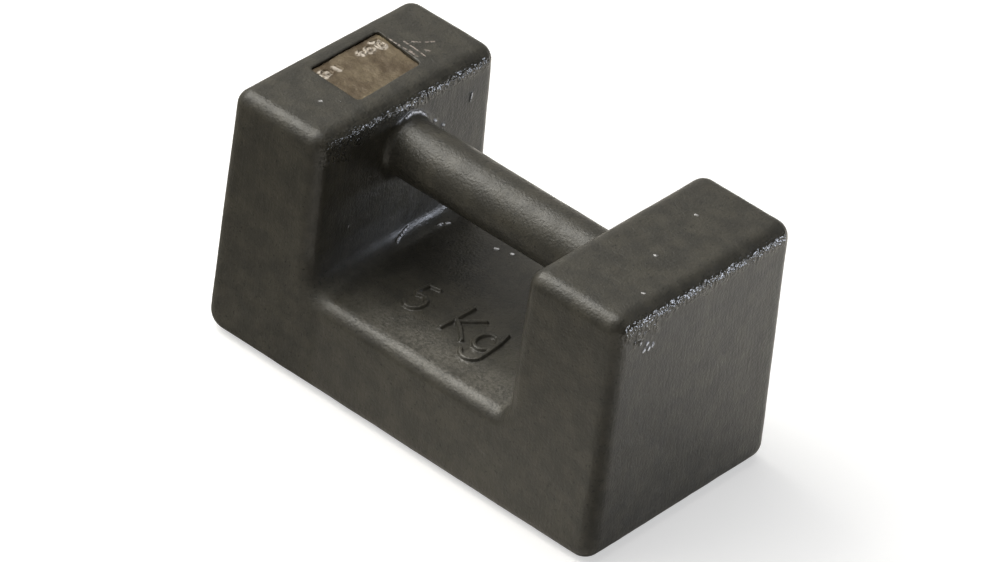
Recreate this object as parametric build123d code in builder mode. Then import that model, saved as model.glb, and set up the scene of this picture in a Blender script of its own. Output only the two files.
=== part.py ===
"""Rectangular bar calibration weight, 5 kg: an iron casting with its adjusting cavity.

The casting stands on its base with +X along its length and +Z up. The origin is the middle of
the underside. All sizes are in millimetres.
"""

from build123d import *
import math
import os

os.makedirs("parts", exist_ok=True)

# ---- casting: outside ---------------------------------------------------------------------
height = 85.5
top_length = 150.0
top_width = 77.0
draft_angle = 1.0  # lean of every moulded wall, degrees
edge_radius = 5.0  # rounding round the rim of both long sides
profile_radius = 5.4  # rounding of the outline's own corners, kept above the rim's
base_radius = 6.5  # rounding of the two end edges of the underside

# ---- casting: notch and grip --------------------------------------------------------------
notch_floor_height = 33.0
notch_top_width = 78.8
notch_floor_radius = 5.0
grip_diameter = 19.0
grip_axis_height = 67.4
grip_root_radius = 2.5

# ---- adjusting cavity in the upright at -X ------------------------------------------------
seal_mouth_width = 20.0  # along X
seal_mouth_length = 30.0  # along Y
seal_depth = 4.5
seal_undercut = 0.9  # how far the recess widens below its mouth, on each side
seal_sink = 0.9  # the face of the lead lies this far below the top of the upright
seal_corner_radius = 1.2
seal_mouth_break = 0.4  # bevel of the iron round the mouth of the recess
plate_thickness = 2.0
plate_clearance = 0.2  # between the edge of the plate and its pocket, on each side
ledge_width = 2.6
cavity_top_radius = 4.0
cavity_depth = 44.0
cavity_draft = 1.2  # how far the core narrows from ledge to bottom, on each side

# ---- adjusting lead: pellets cut from lead wire -------------------------------------------
pellet_diameter = 5.8
pellet_length = 7.0
pellet_gap = 0.05
pellet_columns = 2  # along X
pellet_rows = 3  # along Y
pellet_layers = 2

# ---- sizes worked out from the above ------------------------------------------------------
lean = math.tan(math.radians(draft_angle))
base_length = top_length + 2 * height * lean
base_width = top_width + 2 * height * lean
notch_floor_width = notch_top_width - 2 * (height - notch_floor_height) * lean
upright_middle = -(top_length + notch_top_width) / 4
pocket_top = height - seal_depth
ledge_height = pocket_top - plate_thickness
cavity_floor = ledge_height - cavity_depth
cavity_width = seal_mouth_width - 2 * ledge_width
cavity_length = seal_mouth_length - 2 * ledge_width


def rounded_slab(plane, width, length, radius):
    """A rounded rectangle on a plane, centred over the middle of the upright."""
    with BuildSketch(plane) as outline:
        with Locations((upright_middle, 0)):
            RectangleRounded(width, length, radius)
    return outline.sketch


def undercut_sections(top, bottom):
    """Two outlines of the undercut recess, at two heights between its mouth and its pocket."""
    sections = []
    for level in (bottom, top):
        spread = 2 * seal_undercut * (height - level) / seal_depth
        sections.append(
            rounded_slab(
                Plane.XY.offset(level),
                seal_mouth_width + spread,
                seal_mouth_length + spread,
                seal_corner_radius,
            )
        )
    return sections


# ---- weight_body: one casting, base, two uprights and the grip between them ---------------
with BuildPart() as weight_body:
    with BuildSketch(Plane.XZ) as side_outline:
        with BuildLine():
            Polyline(
                (-base_length / 2, 0),
                (base_length / 2, 0),
                (top_length / 2, height),
                (notch_top_width / 2, height),
                (notch_floor_width / 2, notch_floor_height),
                (-notch_floor_width / 2, notch_floor_height),
                (-notch_top_width / 2, height),
                (-top_length / 2, height),
                close=True,
            )
        make_face()
        corners = side_outline.vertices().group_by(Axis.Y)
        fillet(corners[0], radius=base_radius)
        corners = side_outline.vertices().group_by(Axis.Y)
        fillet(corners[-1], radius=profile_radius)
        floor_corners = side_outline.vertices().filter_by(
            lambda corner: abs(corner.Y - notch_floor_height) < 0.01
        )
        fillet(floor_corners, radius=notch_floor_radius)
    extrude(amount=base_width, both=True)
    # The long sides lean in towards the top.
    with BuildSketch(Plane.YZ):
        Trapezoid(base_width, height, 90 - draft_angle, align=(Align.CENTER, Align.MIN))
    extrude(amount=base_length, both=True, mode=Mode.INTERSECT)
    # One rounding runs round the whole rim of each long side.
    long_sides = weight_body.faces().sort_by(Axis.Y)
    fillet(long_sides[0].edges() + long_sides[-1].edges(), radius=edge_radius)
    # The grip is cast in one with the uprights, with a small fillet at each root.
    with BuildSketch(Plane.YZ):
        with Locations((0, grip_axis_height)):
            Circle(grip_diameter / 2)
    extrude(amount=notch_top_width / 2 + 1, both=True)
    grip_roots = weight_body.edges().filter_by(GeomType.ELLIPSE)
    fillet(grip_roots, radius=grip_root_radius)
    # Undercut recess for the lead, pocket for the plate and the cored cavity below its ledge.
    loft(undercut_sections(height, pocket_top), mode=Mode.SUBTRACT)
    mouth = weight_body.edges(Select.LAST).group_by(Axis.Z)[-1]
    chamfer(mouth, length=seal_mouth_break)
    pocket = rounded_slab(
        Plane.XY.offset(pocket_top), seal_mouth_width, seal_mouth_length, seal_corner_radius
    )
    extrude(pocket, amount=-plate_thickness, mode=Mode.SUBTRACT)
    cavity_sections = [
        rounded_slab(
            Plane.XY.offset(level),
            cavity_width - 2 * narrowing,
            cavity_length - 2 * narrowing,
            cavity_top_radius,
        )
        for level, narrowing in ((cavity_floor, cavity_draft), (ledge_height, 0))
    ]
    loft(cavity_sections, mode=Mode.SUBTRACT)
weight_body.part.label = "weight_body"
export_step(weight_body.part, "parts/weight_body.step")

# ---- closing_plate: mild steel, lies on the ledge -----------------------------------------
with BuildPart() as closing_plate:
    plate_outline = rounded_slab(
        Plane.XY.offset(ledge_height),
        seal_mouth_width - 2 * plate_clearance,
        seal_mouth_length - 2 * plate_clearance,
        seal_corner_radius,
    )
    extrude(plate_outline, amount=plate_thickness)
closing_plate.part.label = "closing_plate"
export_step(closing_plate.part, "parts/closing_plate.step")

# ---- lead_seal: driven in over the plate until it fills the undercut -----------------------
with BuildPart() as lead_seal:
    loft(undercut_sections(height - seal_sink, pocket_top))
lead_seal.part.label = "lead_seal"
export_step(lead_seal.part, "parts/lead_seal.step")

# ---- adjusting_lead: loose pellets in the bottom of the cavity -----------------------------
pellet_pitch = pellet_diameter + pellet_gap
with BuildPart() as adjusting_lead:
    for layer in range(pellet_layers):
        level = cavity_floor + layer * (pellet_length + pellet_gap)
        with BuildSketch(Plane.XY.offset(level)) as layer_outline:
            with Locations((upright_middle, 0)):
                with GridLocations(pellet_pitch, pellet_pitch, pellet_columns, pellet_rows):
                    Circle(pellet_diameter / 2)
        extrude(amount=pellet_length)
adjusting_lead.part.label = "adjusting_lead"
export_step(adjusting_lead.part, "parts/adjusting_lead.step")

# ---- weighing: grams of each piece, from its volume and its metal's density in g/cm3 ------
iron = 7.12
steel = 7.85
lead = 11.3
grams = {
    "weight_body": weight_body.part.volume * iron / 1000,
    "closing_plate": closing_plate.part.volume * steel / 1000,
    "lead_seal": lead_seal.part.volume * lead / 1000,
    "adjusting_lead": adjusting_lead.part.volume * lead / 1000,
}
for name, mass in grams.items():
    print(f"{name}: {mass:.1f} g")
print(f"whole weight: {sum(grams.values()):.0f} g")
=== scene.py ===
"""A 5 kg cast-iron bar weight: satin black paint over the casting, a grip bar cast in one with it,
and a lead seal in the adjusting cavity of one upright."""

import math

import bmesh
import bpy
from mathutils import Matrix, Vector
from mathutils.kdtree import KDTree


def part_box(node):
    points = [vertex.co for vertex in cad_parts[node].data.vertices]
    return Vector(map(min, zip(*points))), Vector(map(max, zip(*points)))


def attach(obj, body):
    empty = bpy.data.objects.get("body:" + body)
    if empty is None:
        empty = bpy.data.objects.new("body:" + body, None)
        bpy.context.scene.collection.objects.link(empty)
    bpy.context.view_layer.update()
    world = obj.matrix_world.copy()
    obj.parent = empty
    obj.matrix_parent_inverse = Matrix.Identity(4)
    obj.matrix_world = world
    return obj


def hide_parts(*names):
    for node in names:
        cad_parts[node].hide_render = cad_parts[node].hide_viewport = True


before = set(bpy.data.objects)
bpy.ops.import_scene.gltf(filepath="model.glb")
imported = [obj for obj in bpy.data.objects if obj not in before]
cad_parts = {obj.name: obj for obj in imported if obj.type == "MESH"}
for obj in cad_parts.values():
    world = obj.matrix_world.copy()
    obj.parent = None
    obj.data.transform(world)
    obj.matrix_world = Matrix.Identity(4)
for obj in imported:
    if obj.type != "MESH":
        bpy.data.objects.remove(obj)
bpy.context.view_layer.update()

MM = 0.001

# Places on the casting and the seal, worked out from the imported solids
BODY_LOW, BODY_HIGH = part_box("weight_body")
SEAL_LOW, SEAL_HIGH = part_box("lead_seal")
TOP = BODY_HIGH.z
SEAL_FACE = SEAL_HIGH.z
# The floor of the notch, as it is drawn
NOTCH_FLOOR = 33 * MM

# Faces that carry marks, in millimetres: the notch's wall on the sealed upright, the end at +X, the tops
WALL_FACE, END_FACE, TOP_FACE = -39.3, 75.1, 85.4
FLOOR_FACE = NOTCH_FLOOR / MM

# Meshing: a closed skin is rebuilt on an even grid fine enough for its finish, then thinned
WELD = 0.002 * MM
CASTING_GRID, CASTING_TRIANGLES = 0.42 * MM, 188_000
SEAL_GRID, SEAL_TRIANGLES = 0.22 * MM, 60_000

# How near a stroke the casting's grid is split finer, and how closely the strokes are sampled for it
MARK_REACH, RUN_REACH = 1.7 * MM, 1.2 * MM
STROKE_STEP = 0.4 * MM

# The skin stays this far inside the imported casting's box
SKIN_CLEARANCE = Vector((0.02, 0.02, 0.02)) * MM

# The drawn mouth of the seal, and how far in millimetres each corner was dressed away from it by hand,
# with the corners named as they are seen from the front right
MOUTH_LOW, MOUTH_HIGH = Vector((-67.5, -15.0, 0)) * MM, Vector((-47.5, 15.0, 0)) * MM
DRESSED = {"left": (0.1, 1.7, 0), "back": (-0.4, 0.7, 0), "right": (-1.4, -1.5, 0), "front": (-0.3, 0.9, 0)}

# Where a zone of the skin begins and where it is full
DRESSED_BESIDE_MOUTH = (2.8 * MM, 0.5 * MM)
DRESSED_HEIGHT = (TOP - 6.5 * MM, TOP - 5 * MM)
OFF_NOTCH_FLOOR = (6 * MM, 2 * MM)
BETWEEN_UPRIGHTS = (41 * MM, 36 * MM)
CROWN_ASIDE = (20 * MM, 38 * MM)
# Dust with painted light on the open floor by the lip, fading as painted shade towards the sealed upright
DUST_AND_LIGHT_ASIDE = (18 * MM, 31 * MM)
DUST_AND_LIGHT_ALONG = (-38 * MM, 4 * MM)
SAG_HEIGHT = (TOP - 7.5 * MM, TOP - 4 * MM)
LOW_SAG_ACROSS = (-14 * MM, -24 * MM)
STRUCK_HEIGHT = (SEAL_FACE - 0.8 * MM, SEAL_FACE - 0.1 * MM)
# The same, as the share of a face's direction that points one way
TURNED_UP = (0.5, 0.95)
TURNED_TO_END = (0.65, 0.9)

WARM_WHITE, COOL_WHITE = (1.0, 0.975, 0.90), (0.80, 0.86, 1.0)


# ---------------------------------------------------------------- small tools for node trees


def feed(tree, socket, value):
    """Gives one input a fixed value, or joins it to another node's output."""
    if isinstance(value, bpy.types.NodeSocket):
        tree.links.new(value, socket)
    else:
        socket.default_value = value


def add(tree, kind, inputs=None, **settings):
    """Adds one node with its settings and its inputs, named or numbered."""
    made = tree.nodes.new(kind)
    for name, value in settings.items():
        setattr(made, name, value)
    for key, value in (inputs or {}).items():
        feed(tree, made.inputs[key], value)
    return made


def maths(tree, operation, *values):
    made = add(tree, "ShaderNodeMath", dict(enumerate(values)), operation=operation)
    return made.outputs[0]


def vector_maths(tree, operation, *values):
    made = add(tree, "ShaderNodeVectorMath", dict(enumerate(values)), operation=operation)
    return made.outputs["Value" if operation in ("DOT_PRODUCT", "LENGTH") else "Vector"]


def scaled(tree, vector, amount):
    """A vector with its length multiplied."""
    made = add(tree, "ShaderNodeVectorMath", {0: vector, "Scale": amount}, operation="SCALE")
    return made.outputs["Vector"]


def axes(tree, vector):
    """The X, Y and Z of a vector."""
    return add(tree, "ShaderNodeSeparateXYZ", {0: vector}).outputs


def ramp(tree, value, start, end, low=0.0, high=1.0, smooth=True):
    """Carries a value from its own range to another, clamped at both ends."""
    kind = "SMOOTHSTEP" if smooth else "LINEAR"
    inputs = {"Value": value, "From Min": start, "From Max": end, "To Min": low, "To Max": high}
    return add(tree, "ShaderNodeMapRange", inputs, interpolation_type=kind).outputs["Result"]


def noise(tree, place, scale, detail, roughness=0.5):
    """Noise about 0.5, with its scale in waves per metre."""
    inputs = {"Vector": place, "Scale": scale, "Detail": detail, "Roughness": roughness}
    return add(tree, "ShaderNodeTexNoise", inputs).outputs[0]


def per_metre(size):
    """The scale of a pattern whose marks are about this size apart."""
    return 1.0 / size


def waves(tree, place, size, height, detail, roughness=0.5, middle=0.5):
    """Noise that swings up and down about its middle, to about the height."""
    scale = maths(tree, "DIVIDE", 1.0, size)
    swing = maths(tree, "SUBTRACT", noise(tree, place, scale, detail, roughness), middle)
    return maths(tree, "MULTIPLY", maths(tree, "MULTIPLY", swing, 2.0), height)


def mixed(tree, factor, first, second):
    """A colour between two others."""
    made = add(tree, "ShaderNodeMix", {0: factor, 6: first, 7: second}, data_type="RGBA")
    return made.outputs[2]


def between_vectors(tree, factor, first, second):
    """A vector between two others."""
    made = add(tree, "ShaderNodeMix", {0: factor, 4: first, 5: second}, data_type="VECTOR")
    return made.outputs[1]


def geometry_tree(name, shape, numbers, others, result):
    """A geometry-nodes tree that takes a shape, numbers with their values and other kinds of input."""
    tree = bpy.data.node_groups.new(name, "GeometryNodeTree")
    sockets = tree.interface
    sockets.new_socket(shape, in_out="INPUT", socket_type="NodeSocketGeometry")
    for label, value in numbers.items():
        kind = "NodeSocketInt" if isinstance(value, int) else "NodeSocketFloat"
        sockets.new_socket(label, in_out="INPUT", socket_type=kind).default_value = value
    for label, kind in others.items():
        sockets.new_socket(label, in_out="INPUT", socket_type=kind)
    sockets.new_socket(result, in_out="OUTPUT", socket_type="NodeSocketGeometry")
    return tree, tree.nodes.new("NodeGroupInput").outputs


def path_distance(tree, paths, place):
    """How far a place is from the nearest edge of an object."""
    edges = add(tree, "GeometryNodeObjectInfo", {"Object": paths},
                transform_space="RELATIVE").outputs["Geometry"]
    return add(tree, "GeometryNodeProximity", {"Geometry": edges, "Sample Position": place},
               target_element="EDGES").outputs["Distance"]


def stored(tree, geometry, name, value):
    """Keeps a value on the skin under a name, for the material to read."""
    return add(tree, "GeometryNodeStoreNamedAttribute", {"Geometry": geometry, "Name": name, "Value": value},
               data_type="FLOAT", domain="POINT").outputs[0]


def ended(tree, geometry, material, result):
    """Ends a tree as plain mesh in one material."""
    real = add(tree, "GeometryNodeRealizeInstances", {0: geometry}).outputs[0]
    coated = add(tree, "GeometryNodeSetMaterial", {"Geometry": real, "Material": material}).outputs[0]
    feed(tree, tree.nodes.new("NodeGroupOutput").inputs[result], coated)


def set_input(modifier, name, value):
    """Sets a geometry-nodes input by its socket's identifier."""
    for item in modifier.node_group.interface.items_tree:
        if item.item_type == "SOCKET" and item.in_out == "INPUT" and item.name == name:
            modifier[item.identifier] = value


# ---------------------------------------------------------------- meshes


def link(name, content):
    """A new object in the scene, with a mesh, a lamp or a lens in it."""
    made = bpy.data.objects.new(name, content)
    bpy.context.scene.collection.objects.link(made)
    return made


def merged_copy(node_name, name):
    """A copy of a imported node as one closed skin."""
    shell = bmesh.new()
    shell.from_mesh(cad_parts[node_name].data)
    bmesh.ops.remove_doubles(shell, verts=shell.verts, dist=WELD)
    mesh = bpy.data.meshes.new(name)
    shell.to_mesh(mesh)
    shell.free()
    return link(name, mesh)


def baked(made):
    """Turns an object's modifiers into plain mesh."""
    depsgraph = bpy.context.evaluated_depsgraph_get()
    mesh = bpy.data.meshes.new_from_object(made.evaluated_get(depsgraph))
    made.modifiers.clear()
    old = made.data
    made.data = mesh
    bpy.data.meshes.remove(old)
    mesh.name = made.name
    return made


def even_grid(made, size):
    """Rebuilds a closed skin on an even grid."""
    remesh = made.modifiers.new("even_grid", "REMESH")
    remesh.mode = "VOXEL"
    remesh.voxel_size = size
    remesh.use_smooth_shade = True
    return baked(made)


def thinned(made, triangles):
    """Takes triangles away where the skin is flattest."""
    split = made.modifiers.new("split", "TRIANGULATE")
    split.quad_method = "SHORTEST_DIAGONAL"
    baked(made)
    count = len(made.data.polygons)
    if count > triangles:
        thin = made.modifiers.new("thin", "DECIMATE")
        thin.ratio = triangles / count
        baked(made)
    made.data.polygons.foreach_set("use_smooth", [True] * len(made.data.polygons))
    made.data.update()


def arc(centre, radii, start, end, steps=14):
    """Points along an arc, in degrees, clockwise where end is below start."""
    angles = [math.radians(start + (end - start) * i / steps) for i in range(steps + 1)]
    return [(centre[0] + radii[0] * math.cos(a), centre[1] + radii[1] * math.sin(a)) for a in angles]


def stroke_object(name, strokes):
    """Stroke paths in millimetres as bare edges."""
    paths = bmesh.new()
    for stroke in strokes:
        points = [paths.verts.new(Vector(point) * MM) for point in stroke]
        for first, second in zip(points, points[1:]):
            paths.edges.new((first, second))
    mesh = bpy.data.meshes.new(name)
    paths.to_mesh(mesh)
    paths.free()
    return link(name, mesh)


def refined(made, strokes, reach):
    """Splits the grid finer wherever one of the strokes passes."""
    spots = []
    for stroke in strokes:
        for first, second in zip(stroke, stroke[1:]):
            start, end = Vector(first) * MM, Vector(second) * MM
            steps = max(1, math.ceil((end - start).length / STROKE_STEP))
            spots += [start.lerp(end, step / steps) for step in range(steps + 1)]
    near = KDTree(len(spots))
    for index, spot in enumerate(spots):
        near.insert(spot, index)
    near.balance()
    shell = bmesh.new()
    shell.from_mesh(made.data)
    close = [edge for edge in shell.edges if near.find(edge.verts[0].co)[2] < reach]
    bmesh.ops.subdivide_edges(shell, edges=close, cuts=1, use_grid_fill=True)
    shell.to_mesh(made.data)
    shell.free()


# ---------------------------------------------------------------- strokes on the casting


def mass_mark_strokes():
    """The figure and the unit, as a pattern maker cuts them, read from the long front side."""
    five = [
        [(-13.2, -8.6), (-16.9, -9.2), (-17.5, -14.2)]
        + arc((-14.7, -18.0), (3.2, 3.7), 125, -140),
    ]
    unit_k = [
        [(-0.9, -7.6), (-1.3, -21.6)],
        [(5.7, -9.6), (0.4, -15.6)],
        [(-0.6, -15.6), (2.6, -17.6), (6.8, -21.6)],
    ]
    unit_g = [
        arc((12.2, -17.0), (3.1, 4.1), 0, 360, 24),
        [(14.3, -9.8), (15.4, -14.5), (15.9, -20.0), (16.0, -23.6)]
        + arc((12.6, -23.6), (3.4, 3.4), 0, -160),
    ]
    return [[(x, y, FLOOR_FACE) for x, y in stroke] for stroke in five + unit_k + unit_g]


def paint_run_strokes():
    """Short runs, nibs and scars in the paint, on the faces that carry them."""
    wall, end, floor, top = WALL_FACE, END_FACE, FLOOR_FACE, TOP_FACE
    return [
        # Drips down the back half of the notch's corner and beads on the floor below it
        [(-36.9, -1.8, 34.2), (-37.3, -1.0, 34.6)],
        [(-37.5, -0.3, 34.8), (-37.8, 0.8, 35.1)],
        [(-38.0, 1.9, 35.5), (-38.4, 3.9, 36.2)],
        [(-35.4, 14.6, 33.3), (-35.2, 16.2, 33.2)],
        [(-34.8, 17.4, 33.1), (-34.4, 18.4, floor)],
        [(-17.0, 19.5, floor), (-16.3, 19.9, floor)],
        [(-12.2, 21.1, floor), (-11.6, 21.4, floor)],
        # A bead of paint round the root of the grip, and runs on the wall beside it
        [(-39.0, -1.9, 78.0), (-39.2, 0.8, 78.4), (-39.1, 4.2, 77.3), (-38.6, 6.8, 75.0)],
        [(wall, 11.7, 70.6), (wall, 12.4, 70.3)],
        [(wall, 15.6, 67.5), (wall, 16.3, 67.0)],
        [(wall, 27.6, 73.2), (wall, 27.2, 70.8)],
        [(wall, -22.7, 49.4), (wall, -22.6, 48.6)],
        # Nibs below the rim of the end
        [(end, -26.6, 71.3), (end, -26.0, 71.6)],
        [(end, -24.3, 71.0), (end, -23.9, 71.5)],
        [(end, -22.6, 71.4), (end, -22.2, 71.8)],
        [(end, -25.3, 73.2), (end, -24.8, 73.6)],
        [(end, -28.4, 74.8), (end, -28.1, 75.2)],
        # Nibs on the tops of both uprights
        [(-54.1, -23.4, top), (-53.8, -23.2, top)],
        [(-50.7, -19.5, top), (-50.3, -19.3, top)],
        [(53.5, 18.8, top), (54.1, 18.9, top)],
        [(58.7, -5.0, top), (59.2, -4.8, top)],
        [(68.3, -21.3, top), (68.7, -21.1, top)],
    ]


def lead_smear_strokes():
    """Lead squeezed over the back edge of the mouth and dragged across the paint behind it."""
    top = TOP_FACE
    return [
        [(-67.0, 15.3, top), (-63.5, 15.3, top)],
        [(-62.6, 15.5, top), (-58.4, 15.3, top)],
        [(-56.8, 15.4, top), (-51.2, 15.3, top)],
        [(-59.0, 17.9, top), (-54.4, 17.7, top), (-49.8, 17.1, top)],
        [(-57.4, 19.6, top), (-55.6, 21.4, top)],
        [(-54.6, 22.6, top), (-53.2, 24.8, top)],
        [(-52.2, 19.4, top), (-50.6, 20.2, top)],
    ]


def dressed(tree, place):
    """The shift that carries the drawn mouth of the seal onto the hand-dressed one."""
    at = axes(tree, place)
    across = ramp(tree, at["X"], MOUTH_LOW.x, MOUTH_HIGH.x, smooth=False)
    along = ramp(tree, at["Y"], MOUTH_LOW.y, MOUTH_HIGH.y, smooth=False)
    corner = {name: tuple(size * MM for size in shift) for name, shift in DRESSED.items()}
    outer_side = between_vectors(tree, along, corner["left"], corner["back"])
    inner_side = between_vectors(tree, along, corner["front"], corner["right"])
    shift = between_vectors(tree, across, outer_side, inner_side)
    middle, half = (MOUTH_LOW + MOUTH_HIGH) / 2, (MOUTH_HIGH - MOUTH_LOW) / 2
    from_middle = vector_maths(tree, "ABSOLUTE", vector_maths(tree, "SUBTRACT", place, tuple(middle)))
    beside = axes(tree, vector_maths(tree, "SUBTRACT", from_middle, tuple(half)))
    reach = ramp(tree, maths(tree, "MAXIMUM", beside["X"], beside["Y"]), *DRESSED_BESIDE_MOUTH)
    reach = maths(tree, "MULTIPLY", reach, ramp(tree, at["Z"], *DRESSED_HEIGHT))
    return scaled(tree, shift, reach)


# ---------------------------------------------------------------- the skin of the casting


def spots(tree, casting, place, density, radius, height, seed, size_seed):
    """Round bumps of mixed size at random places on the casting."""
    smallest, largest = 0.35, 1.0
    points = add(tree, "GeometryNodeDistributePointsOnFaces",
                 {"Mesh": casting, "Density": density, "Seed": seed}).outputs["Points"]
    near = add(tree, "GeometryNodeSampleNearest", {"Geometry": points, "Sample Position": place},
               domain="POINT").outputs[0]
    chance = add(tree, "FunctionNodeRandomValue", {"Seed": size_seed, 2: smallest, 3: largest},
                 data_type="FLOAT").outputs[1]
    size = add(tree, "GeometryNodeSampleIndex", {0: points, 1: chance, "Index": near},
               data_type="FLOAT", domain="POINT").outputs[0]
    spot = add(tree, "GeometryNodeSampleIndex", {0: points, 1: place, "Index": near},
               data_type="FLOAT_VECTOR", domain="POINT").outputs[0]
    distance = vector_maths(tree, "LENGTH", vector_maths(tree, "SUBTRACT", place, spot))
    rise = ramp(tree, distance, maths(tree, "MULTIPLY", radius, size), 0.0)
    return maths(tree, "MULTIPLY", maths(tree, "MULTIPLY", rise, size), height)


def skin_tree():
    """Geometry nodes that give a smooth casting its sand-cast skin, its runs of paint and its mark."""
    numbers = {
        "Lump Size": 17 * MM, "Lump Height": 0.16 * MM,
        "Ripple Size": 4.2 * MM, "Ripple Height": 0.055 * MM,
        "Grain Size": 1.5 * MM, "Grain Height": 0.022 * MM,
        "Pimple Radius": 0.75 * MM, "Pimple Height": 0.11 * MM,
        "Pit Radius": 0.65 * MM, "Pit Depth": 0.12 * MM,
        "Mark Height": 0.95 * MM, "Mark Stroke": 1.3 * MM, "Mark Flank": 0.6 * MM,
        "Run Radius": 0.55 * MM, "Run Height": 0.30 * MM,
        "Smear Radius": 0.5 * MM, "Smear Height": 0.25 * MM,
        "Floor Crown": 0.45 * MM,
        "Inset": 0.10 * MM,
        # Counts to a square metre
        "Pimples": 9_000.0, "Pits": 7_000.0,
        "Seed": 11,
    }
    others = {
        "Mark Paths": "NodeSocketObject", "Run Paths": "NodeSocketObject",
        "Smear Paths": "NodeSocketObject", "Paint": "NodeSocketMaterial",
    }
    tree, given = geometry_tree("cast_skin", "Casting", numbers, others, "Skin")
    place = add(tree, "GeometryNodeInputPosition").outputs[0]
    normal = add(tree, "GeometryNodeInputNormal").outputs[0]
    at, turned = axes(tree, place), axes(tree, normal)

    def cast_waves(name, detail):
        return waves(tree, place, given[name + " Size"], given[name + " Height"], detail)

    def cast_spots(density, radius, height, seed_step):
        seed = maths(tree, "ADD", given["Seed"], seed_step)
        return spots(tree, given["Casting"], place, given[density], given[radius], given[height],
                     seed, seed_step)

    # Lumps, ripple, grain, pimples and pits, then the runs of paint and the smears of lead
    swell = maths(tree, "ADD", cast_waves("Lump", 1.0), cast_waves("Ripple", 2.0))
    swell = maths(tree, "ADD", swell, cast_waves("Grain", 1.0))
    swell = maths(tree, "ADD", swell, cast_spots("Pimples", "Pimple Radius", "Pimple Height", 1))
    swell = maths(tree, "SUBTRACT", swell, cast_spots("Pits", "Pit Radius", "Pit Depth", 2))
    off_run = maths(tree, "DIVIDE", path_distance(tree, given["Run Paths"], place), given["Run Radius"])
    dome = maths(tree, "SUBTRACT", 1.0, maths(tree, "MULTIPLY", off_run, off_run))
    run = maths(tree, "SQRT", maths(tree, "MAXIMUM", dome, 0.0))
    swell = maths(tree, "ADD", swell, maths(tree, "MULTIPLY", run, given["Run Height"]))
    smear = ramp(tree, path_distance(tree, given["Smear Paths"], place), given["Smear Radius"], 0.0)
    swell = maths(tree, "ADD", swell, maths(tree, "MULTIPLY", smear, given["Smear Height"]))
    outward = scaled(tree, normal, maths(tree, "SUBTRACT", swell, given["Inset"]))

    # The mark stands straight up from the floor of the notch, which falls away a little at both sides
    flat = vector_maths(tree, "MULTIPLY", place, (1.0, 1.0, 0.0))
    on_floor = vector_maths(tree, "ADD", flat, (0.0, 0.0, NOTCH_FLOOR))
    half = maths(tree, "MULTIPLY", given["Mark Stroke"], 0.5)
    half_flank = maths(tree, "MULTIPLY", given["Mark Flank"], 0.5)
    foot = maths(tree, "ADD", half, half_flank)
    shoulder = maths(tree, "SUBTRACT", half, half_flank)
    rise = ramp(tree, path_distance(tree, given["Mark Paths"], on_floor), foot, shoulder)
    off_floor = maths(tree, "ABSOLUTE", maths(tree, "SUBTRACT", at["Z"], NOTCH_FLOOR))
    floor_only = ramp(tree, off_floor, *OFF_NOTCH_FLOOR)
    between = ramp(tree, maths(tree, "ABSOLUTE", at["X"]), *BETWEEN_UPRIGHTS)
    aside = maths(tree, "ABSOLUTE", at["Y"])
    fall = maths(tree, "MULTIPLY", ramp(tree, aside, *CROWN_ASIDE), between)
    lift = maths(tree, "SUBTRACT", maths(tree, "MULTIPLY", rise, given["Mark Height"]),
                 maths(tree, "MULTIPLY", fall, given["Floor Crown"]))
    upward = add(tree, "ShaderNodeCombineXYZ", {"Z": maths(tree, "MULTIPLY", lift, floor_only)}).outputs[0]

    shifted = vector_maths(tree, "ADD", place, vector_maths(tree, "ADD", outward, upward))
    shifted = vector_maths(tree, "ADD", shifted, dressed(tree, place))
    shifted = vector_maths(tree, "MAXIMUM", shifted, tuple(BODY_LOW + SKIN_CLEARANCE))
    shifted = vector_maths(tree, "MINIMUM", shifted, tuple(BODY_HIGH - SKIN_CLEARANCE))
    skin = add(tree, "GeometryNodeSetPosition",
               {"Geometry": given["Casting"], "Position": shifted}).outputs[0]

    # Dust and painted light grey the open strips of floor beside the grip, more towards the middle; the fade
    # towards the sealed upright is painted shade from that upright
    open_floor = maths(tree, "MULTIPLY", ramp(tree, aside, *DUST_AND_LIGHT_ASIDE), between)
    open_floor = maths(tree, "MULTIPLY", open_floor, ramp(tree, at["X"], *DUST_AND_LIGHT_ALONG, low=0.1))
    handled = maths(tree, "MULTIPLY", maths(tree, "MULTIPLY", open_floor, floor_only),
                    ramp(tree, turned["Z"], *TURNED_UP))
    # Paint gathers thick under the rims turned to +X, and reaches lower in patches near the front
    patchy = ramp(tree, noise(tree, place, per_metre(3 * MM), 1.0), 0.44, 0.58, high=5 * MM)
    lower = maths(tree, "MULTIPLY", patchy, ramp(tree, at["Y"], *LOW_SAG_ACROSS))
    near_top = ramp(tree, maths(tree, "ADD", at["Z"], lower), *SAG_HEIGHT)
    sagged = maths(tree, "MULTIPLY", ramp(tree, turned["X"], *TURNED_TO_END), near_top)
    for name, value in {"handled": handled, "sagged": sagged, "leaded": smear, "beaded": run}.items():
        skin = stored(tree, skin, name, value)
    ended(tree, skin, given["Paint"], "Skin")
    return tree


def cast_body(paint):
    """The whole casting: base, both uprights and the grip, with the mass raised on the notch floor."""
    body = even_grid(merged_copy("weight_body", "cast_body"), CASTING_GRID)
    refined(body, mass_mark_strokes(), MARK_REACH)
    refined(body, paint_run_strokes() + lead_smear_strokes(), RUN_REACH)
    marks = stroke_object("mass_mark_paths", mass_mark_strokes())
    runs = stroke_object("paint_run_paths", paint_run_strokes())
    smears = stroke_object("lead_smear_paths", lead_smear_strokes())
    skin = body.modifiers.new("cast_skin", "NODES")
    skin.node_group = skin_tree()
    set_input(skin, "Mark Paths", marks)
    set_input(skin, "Run Paths", runs)
    set_input(skin, "Smear Paths", smears)
    set_input(skin, "Paint", paint)
    baked(body)
    for paths in (marks, runs, smears):
        bpy.data.objects.remove(paths)
    thinned(body, CASTING_TRIANGLES)
    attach(body, "root")
    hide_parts("weight_body")


# ---------------------------------------------------------------- the lead seal


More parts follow.
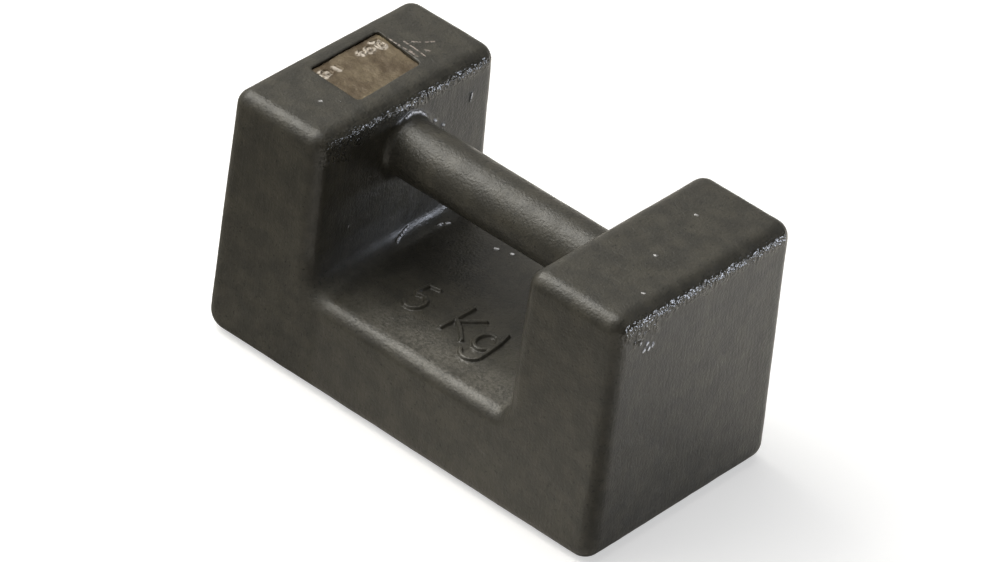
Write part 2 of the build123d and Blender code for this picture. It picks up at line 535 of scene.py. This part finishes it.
def punch_strokes():
    """Worn punch marks along the outer side of the seal: rings, an open ring and bars, no figures."""
    face = SEAL_FACE / MM
    marks = [
        arc((-63.4, -12.0), (1.2, 1.5), 60, 350, 16),
        [(-62.4, -10.4), (-61.8, -12.9)],
        [(-64.1, -7.0), (-61.9, -6.6)],
        arc((-63.6, 4.4), (0.9, 0.9), 0, 250, 12),
        arc((-63.3, 7.8), (1.2, 1.1), 0, 360, 16),
        arc((-62.6, 12.0), (1.4, 1.2), 0, 360, 16),
        [(-65.0, 12.9), (-65.6, 10.6)],
    ]
    return [[(x, y, face) for x, y in stroke] for stroke in marks]


def struck_tree():
    """Geometry nodes that hammer the face of the seal uneven and press the punch marks into it."""
    numbers = {
        "Dent Size": 5.0 * MM, "Dent Depth": 0.45 * MM,
        "Scratch Size": 1.3 * MM, "Scratch Depth": 0.09 * MM,
        "Punch Width": 1.1 * MM, "Punch Depth": 0.26 * MM, "Burr Height": 0.16 * MM,
    }
    others = {"Punch Paths": "NodeSocketObject", "Lead": "NodeSocketMaterial"}
    tree, given = geometry_tree("struck_face", "Seal", numbers, others, "Struck")
    place = add(tree, "GeometryNodeInputPosition").outputs[0]
    face_only = ramp(tree, axes(tree, place)["Z"], *STRUCK_HEIGHT)

    def dents(name, detail):
        """Waves with a high middle, so that they dent more than they raise."""
        return waves(tree, place, given[name + " Size"], given[name + " Depth"], detail,
                     roughness=0.55, middle=0.62)

    # A punch leaves a groove with a narrow bottom and throws up a burr as wide again on both sides
    away = path_distance(tree, given["Punch Paths"], place)
    half = maths(tree, "MULTIPLY", given["Punch Width"], 0.5)
    groove = ramp(tree, away, half, maths(tree, "MULTIPLY", half, 0.3))
    outer = ramp(tree, away, maths(tree, "MULTIPLY", half, 2.0), half)
    burr = maths(tree, "SUBTRACT", outer, groove)
    pressed = maths(tree, "SUBTRACT", maths(tree, "MULTIPLY", burr, given["Burr Height"]),
                    maths(tree, "MULTIPLY", groove, given["Punch Depth"]))
    uneven = maths(tree, "ADD", dents("Dent", 1.0), dents("Scratch", 3.0))
    lift = maths(tree, "MULTIPLY", maths(tree, "ADD", uneven, pressed), face_only)
    upward = add(tree, "ShaderNodeCombineXYZ", {"Z": lift}).outputs[0]
    shift = vector_maths(tree, "ADD", upward, dressed(tree, place))
    face = add(tree, "GeometryNodeSetPosition", {"Geometry": given["Seal"], "Offset": shift}).outputs[0]
    face = stored(tree, face, "scraped", maths(tree, "MULTIPLY", outer, face_only))
    ended(tree, face, given["Lead"], "Struck")
    return tree


def struck_seal(lead):
    """Lead poured over the plate, struck level by hand and punched."""
    seal = even_grid(merged_copy("lead_seal", "struck_seal"), SEAL_GRID)
    punches = stroke_object("punch_paths", punch_strokes())
    struck = seal.modifiers.new("struck_face", "NODES")
    struck.node_group = struck_tree()
    set_input(struck, "Punch Paths", punches)
    set_input(struck, "Lead", lead)
    baked(seal)
    bpy.data.objects.remove(punches)
    thinned(seal, SEAL_TRIANGLES)
    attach(seal, "root")
    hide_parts("lead_seal")


# ---------------------------------------------------------------- materials


def surface(name, roughness, metallic=0.0):
    """A new material with its shader, its tree and the place on the piece."""
    material = bpy.data.materials.new(name)
    material.use_nodes = True
    tree = material.node_tree
    shader = tree.nodes["Principled BSDF"]
    shader.inputs["Roughness"].default_value = roughness
    shader.inputs["Metallic"].default_value = metallic
    place = add(tree, "ShaderNodeTexCoord").outputs["Object"]
    return material, tree, shader, place


def kept(tree, name):
    """A value that the geometry nodes stored on the skin."""
    return add(tree, "ShaderNodeAttribute", attribute_name=name).outputs["Fac"]


def stretched(tree, place, scale):
    """A place squeezed along an axis, so that a pattern on it is drawn out there."""
    return add(tree, "ShaderNodeMapping", {"Vector": place, "Scale": scale}).outputs[0]


def bump(tree, height, distance, under=None):
    """Relief in the shading, laid over another where there is one."""
    inputs = {"Height": height, "Distance": distance, "Strength": 1.0}
    if under is not None:
        inputs["Normal"] = under
    return add(tree, "ShaderNodeBump", inputs).outputs["Normal"]


def satin_black_paint():
    """Thin brushed black paint, with the sand grain of the iron showing through."""
    fresh, faded, pore = (0.040, 0.038, 0.031, 1), (0.060, 0.056, 0.044, 1), (0.018, 0.018, 0.015, 1)
    dust_and_light_grey, smeared_lead, painted_glint = (0.130, 0.123, 0.105, 1), (0.34, 0.29, 0.26, 1), (0.80, 0.80, 0.82, 1)
    material, tree, shader, place = surface("satin_black_paint", 0.30)
    sagged = kept(tree, "sagged")
    mottle = noise(tree, place, per_metre(6 * MM), 4.0, 0.6)
    speck = noise(tree, place, per_metre(1.0 * MM), 3.0, 0.62)
    coat = mixed(tree, ramp(tree, mottle, 0.35, 0.68), fresh, faded)
    coat = mixed(tree, ramp(tree, speck, 0.28, 0.42), pore, coat)
    # Dust with painted light on the open floor by the lip, dragged lead behind the seal, and painted glints
    # on the nibs
    # Dust and painted light: a paler grey on the open floor by the lip, less where the sealed upright shades
    # it
    dust_and_light_mask = maths(tree, "MULTIPLY", kept(tree, "handled"), ramp(tree, mottle, 0.25, 0.55, low=0.45))
    dust_and_light_mask = maths(tree, "MULTIPLY", dust_and_light_mask, ramp(tree, speck, 0.38, 0.62, low=0.35))
    coat = mixed(tree, dust_and_light_mask, coat, dust_and_light_grey)
    dragged_lead = maths(tree, "MULTIPLY", ramp(tree, kept(tree, "leaded"), 0.2, 0.7),
                         ramp(tree, speck, 0.38, 0.55))
    coat = mixed(tree, dragged_lead, coat, smeared_lead)
    # Painted glint: a near-white colour on the runs and nibs stands in for the glints of light on them
    painted_glint_mask = maths(tree, "MULTIPLY", ramp(tree, kept(tree, "beaded"), 0.3, 0.8),
                    ramp(tree, speck, 0.40, 0.52))
    feed(tree, shader.inputs["Base Color"], mixed(tree, painted_glint_mask, coat, painted_glint))
    # Dust dulls the front half of the corner between the notch floor and the sealed upright
    at = axes(tree, place)
    corner = maths(tree, "MULTIPLY", ramp(tree, at["X"], -30 * MM, -35 * MM),
                   ramp(tree, at["Z"], 46 * MM, 40 * MM))
    corner = maths(tree, "MULTIPLY", corner, ramp(tree, at["Y"], 8 * MM, -14 * MM, high=0.30))
    sheen = noise(tree, place, per_metre(5 * MM), 3.0, 0.6)
    dull = maths(tree, "ADD", ramp(tree, sheen, 0.3, 0.7, 0.28, 0.42), corner)
    dull = maths(tree, "SUBTRACT", dull, maths(tree, "MULTIPLY", sagged, 0.17))
    feed(tree, shader.inputs["Roughness"], dull)
    # Sand grain as fine stipple, beads where the paint sags, and the drag of the brush over both
    stipple = bump(tree, noise(tree, place, per_metre(0.8 * MM), 2.0, 0.55), 0.15 * MM)
    beads = maths(tree, "MULTIPLY", noise(tree, place, per_metre(1.1 * MM), 0.0), sagged)
    stipple = bump(tree, beads, 0.55 * MM, under=stipple)
    brushed = stretched(tree, place, (1.0, 1.0, 0.16))
    drag = bump(tree, noise(tree, brushed, per_metre(1.1 * MM), 2.0), 0.10 * MM, under=stipple)
    feed(tree, shader.inputs["Normal"], drag)
    return material


def seal_lead():
    """Old lead under a brown film, bare and pale where a punch has scraped it."""
    brown, tan, edge = (0.100, 0.072, 0.042, 1), (0.172, 0.135, 0.084, 1), (0.250, 0.205, 0.120, 1)
    dirt, scraped_bare = (0.05, 0.04, 0.025, 1), (0.50, 0.45, 0.39, 1)
    material, tree, shader, place = surface("seal_lead", 0.5, 0.25)
    cloud = noise(tree, place, per_metre(8 * MM), 4.0, 0.6)
    speck = noise(tree, place, per_metre(0.9 * MM), 3.0, 0.65)
    film = mixed(tree, ramp(tree, cloud, 0.35, 0.65), brown, tan)
    # A paler, yellower edge where the lead was worked against the iron
    at = axes(tree, place)
    inner = ramp(tree, at["X"], SEAL_HIGH.x - 2.6 * MM, SEAL_HIGH.x - 0.3 * MM)
    front = ramp(tree, at["Y"], SEAL_LOW.y + 1.8 * MM, SEAL_LOW.y + 0.2 * MM)
    back = ramp(tree, at["Y"], SEAL_HIGH.y - 1.2 * MM, SEAL_HIGH.y - 0.2 * MM)
    worked = maths(tree, "MAXIMUM", maths(tree, "MAXIMUM", inner, front), back)
    worked = maths(tree, "MULTIPLY", worked, ramp(tree, cloud, 0.38, 0.58, low=0.25))
    film = mixed(tree, worked, film, edge)
    film = mixed(tree, ramp(tree, speck, 0.30, 0.42, 0.45, 0.0), film, dirt)
    bare = maths(tree, "MULTIPLY", kept(tree, "scraped"), ramp(tree, speck, 0.36, 0.56, low=0.05))
    feed(tree, shader.inputs["Base Color"], mixed(tree, bare, film, scraped_bare))
    feed(tree, shader.inputs["Roughness"], ramp(tree, speck, 0.3, 0.7, 0.40, 0.60))
    feed(tree, shader.inputs["Normal"], bump(tree, speck, 0.16 * MM))
    return material


def sawn_steel():
    """The closing plate: mild steel with saw lines."""
    dark, bright = (0.30, 0.30, 0.29, 1), (0.46, 0.45, 0.43, 1)
    material, tree, shader, place = surface("sawn_steel", 0.38, 1.0)
    lines = noise(tree, stretched(tree, place, (0.06, 1.0, 1.0)), per_metre(0.5 * MM), 3.0, 0.6)
    feed(tree, shader.inputs["Base Color"], mixed(tree, lines, dark, bright))
    feed(tree, shader.inputs["Normal"], bump(tree, lines, 0.03 * MM))
    return material


def pellet_lead():
    """Cut lead wire, dull grey with a pale bloom."""
    dull, pale = (0.13, 0.14, 0.15, 1), (0.30, 0.31, 0.32, 1)
    material, tree, shader, place = surface("pellet_lead", 0.55, 0.8)
    bloom = noise(tree, place, per_metre(2 * MM), 4.0, 0.6)
    feed(tree, shader.inputs["Base Color"], mixed(tree, ramp(tree, bloom, 0.4, 0.65), dull, pale))
    feed(tree, shader.inputs["Normal"], bump(tree, bloom, 0.05 * MM))
    return material


def dress_node(name, material):
    """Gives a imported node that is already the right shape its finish."""
    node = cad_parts[name]
    node.data.materials.clear()
    node.data.materials.append(material)


# ---------------------------------------------------------------- studio


def toward(azimuth, elevation):
    """The unit vector towards a place seen from the part, with azimuth 0 towards -Y and 90 towards +X."""
    az, el = math.radians(azimuth), math.radians(elevation)
    return Vector((math.sin(az) * math.cos(el), -math.cos(az) * math.cos(el), math.sin(el)))


def lamp(name, direction, distance, width, height, radiance, colour=(1, 1, 1)):
    """A rectangular softbox that faces the part and shines with the same radiance all over."""
    light = bpy.data.lights.new(name, "AREA")
    light.shape = "RECTANGLE"
    light.size, light.size_y = width, height
    light.energy = radiance * math.pi * width * height
    light.color = colour
    made = link(name, light)
    made.location = direction * distance + Vector((0, 0, TOP / 2))
    made.rotation_euler = direction.to_track_quat("Z", "Y").to_euler()


def studio_floor():
    """A plain table top, white to the camera, with painted shade and a painted shadow in what it lights and
    mirrors in.
    """
    radius, segments = 3.0, 96
    seen_grey, seen_glow = (0.65, 0.65, 0.65, 1), 0.52
    # Painted shade greys it towards the front left, and a painted shadow of the part lies off the end at +X
    shaded, lit, shade_way = (0.20, 0.19, 0.17, 1), (0.90, 0.87, 0.82, 1), (0.80, 0.60, 0.0)
    painted_shadow, painted_shadow_middle = (0.04, 0.04, 0.04, 1), (0.128, -0.072, 0.0)
    material, tree, shader, place = surface("table_white", 0.9)
    shader.inputs["Specular IOR Level"].default_value = 0.0
    along = vector_maths(tree, "DOT_PRODUCT", place, shade_way)
    painted_floor_shade = mixed(tree, ramp(tree, along, -170 * MM, 50 * MM), shaded, lit)
    # Painted shadow of the part on the table, darkest near its middle
    from_painted_shadow = vector_maths(tree, "LENGTH", vector_maths(tree, "SUBTRACT", place, painted_shadow_middle))
    painted_floor_shade = mixed(tree, ramp(tree, from_painted_shadow, 85 * MM, 30 * MM, high=0.75), painted_floor_shade, painted_shadow)
    seen = add(tree, "ShaderNodeLightPath").outputs["Is Camera Ray"]
    feed(tree, shader.inputs["Base Color"], mixed(tree, seen, painted_floor_shade, seen_grey))
    feed(tree, shader.inputs["Emission Color"], (1, 1, 1, 1))
    feed(tree, shader.inputs["Emission Strength"], maths(tree, "MULTIPLY", seen, seen_glow))
    table = bmesh.new()
    bmesh.ops.create_circle(table, cap_ends=True, segments=segments, radius=radius)
    mesh = bpy.data.meshes.new("table_top")
    table.to_mesh(mesh)
    table.free()
    mesh.materials.append(material)
    top = link("table_top", mesh)


def room_light():
    """A room lit from the left and above and dark on the right, white to the camera."""
    bright_way, dimmest, brightest = (-0.85, -0.15, 0.50), 0.07, 0.50
    room_colour, seen_colour = (1.0, 0.975, 0.93, 1), (1, 1, 1, 1)
    world = bpy.data.worlds.new("room")
    bpy.context.scene.world = world
    world.use_nodes = True
    tree = world.node_tree
    background = tree.nodes["Background"]
    way = add(tree, "ShaderNodeTexCoord").outputs["Generated"]
    room = ramp(tree, vector_maths(tree, "DOT_PRODUCT", way, bright_way), -0.35, 0.95, dimmest, brightest)
    seen = add(tree, "ShaderNodeLightPath").outputs["Is Camera Ray"]
    feed(tree, background.inputs["Strength"], maths(tree, "MAXIMUM", seen, room))
    feed(tree, background.inputs["Color"], mixed(tree, seen, room_colour, seen_colour))


def camera():
    """A long lens from the front right, with the part across the whole frame."""
    aim = Vector((-10.95, 15.91, 26.25)) * MM
    distance, azimuth, elevation, roll = 2031 * MM, 37.62, 36.21, 7.34
    back = toward(azimuth, elevation)
    level = Vector((math.cos(math.radians(azimuth)), math.sin(math.radians(azimuth)), 0))
    rise = back.cross(level)
    turn = math.radians(roll)
    right = level * math.cos(turn) + rise * math.sin(turn)
    up = back.cross(right)
    lens = bpy.data.cameras.new("camera")
    lens.sensor_fit = "HORIZONTAL"
    lens.sensor_width = 36.0
    lens.lens = 248.5
    lens.clip_end = 20
    made = link("camera", lens)
    made.matrix_world = Matrix((right, up, back)).transposed().to_4x4()
    made.location = aim + back * distance
    bpy.context.scene.camera = made


camera()
room_light()
studio_floor()
lamp("key_softbox", toward(-82, 47), 1.2, width=0.87, height=0.87, radiance=3.3, colour=WARM_WHITE)
lamp("front_softbox", toward(-50, 52), 1.2, width=1.0, height=1.0, radiance=1.62, colour=WARM_WHITE)
lamp("overhead_softbox", toward(-90, 82), 1.3, width=1.0, height=1.0, radiance=1.5)
lamp("low_window", toward(127, 0), 0.6, width=0.19, height=0.10, radiance=28.0, colour=COOL_WHITE)
cast_body(satin_black_paint())
struck_seal(seal_lead())
dress_node("closing_plate", sawn_steel())
dress_node("adjusting_lead", pellet_lead())

bpy.context.scene.view_settings.view_transform = "Standard"
